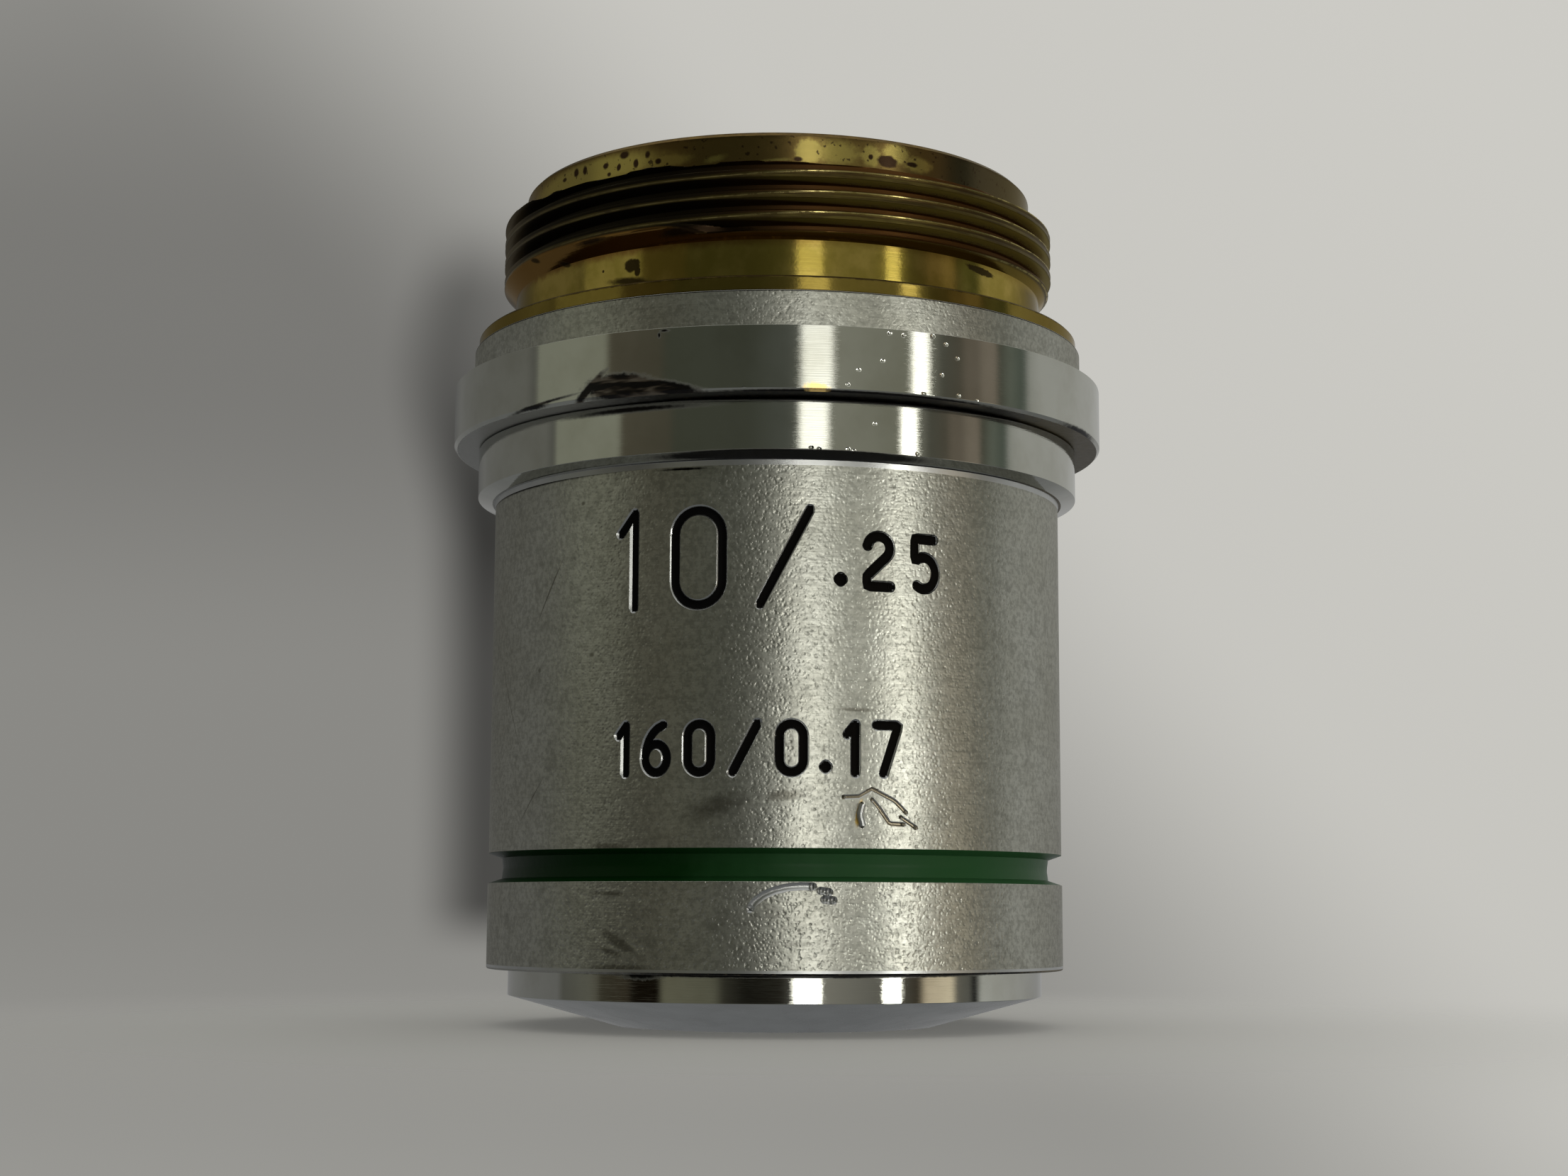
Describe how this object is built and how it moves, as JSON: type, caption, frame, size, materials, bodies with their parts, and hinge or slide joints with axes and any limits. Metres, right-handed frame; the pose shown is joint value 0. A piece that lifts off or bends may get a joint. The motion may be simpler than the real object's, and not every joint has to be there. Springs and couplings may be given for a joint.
{
  "type": "microscope objective",
  "caption": "Cylindrical microscope objective with a brass thread end above a mounting shoulder, plated barrel with a colour ring, and a flat nose around the front lens.",
  "frame": {"origin": "on the optical axis in the plane of the mounting shoulder, which seats on the nosepiece", "axes": "+Z along the optical axis out of the thread end; -Z towards the specimen; +X and +Y are free, and the engraved figures face -Y"},
  "size_m": [0.0236, 0.0236, 0.0301],
  "materials": {
    "bare_brass": "turned, tarnished brown in the thread roots",
    "plated_brass": "plated brass, bead-blasted matt with polished rings",
    "blackened_brass": "blackened matt",
    "green_lacquer": "dark green lacquer",
    "lens_glass": "polished optical glass"
  },
  "bodies": {
    "root": {"thread_mount": "bare_brass", "baffle_cup": "blackened_brass", "shoulder_collar": "plated_brass", "body_sleeve": "plated_brass", "colour_band": "green_lacquer", "nose_cap": "plated_brass", "parfocal_shim": "bare_brass", "lens_tube": "blackened_brass", "tube_lock_ring": "blackened_brass", "stack_lock_ring": "blackened_brass", "aperture_stop": "blackened_brass", "rear_cell": "blackened_brass", "rear_crown": "lens_glass", "rear_flint": "lens_glass", "rear_lens_ring": "blackened_brass", "cell_spacer": "blackened_brass", "front_cell": "blackened_brass", "front_crown": "lens_glass", "front_flint": "lens_glass", "front_lens_ring": "blackened_brass"}
  },
  "joints": []
}
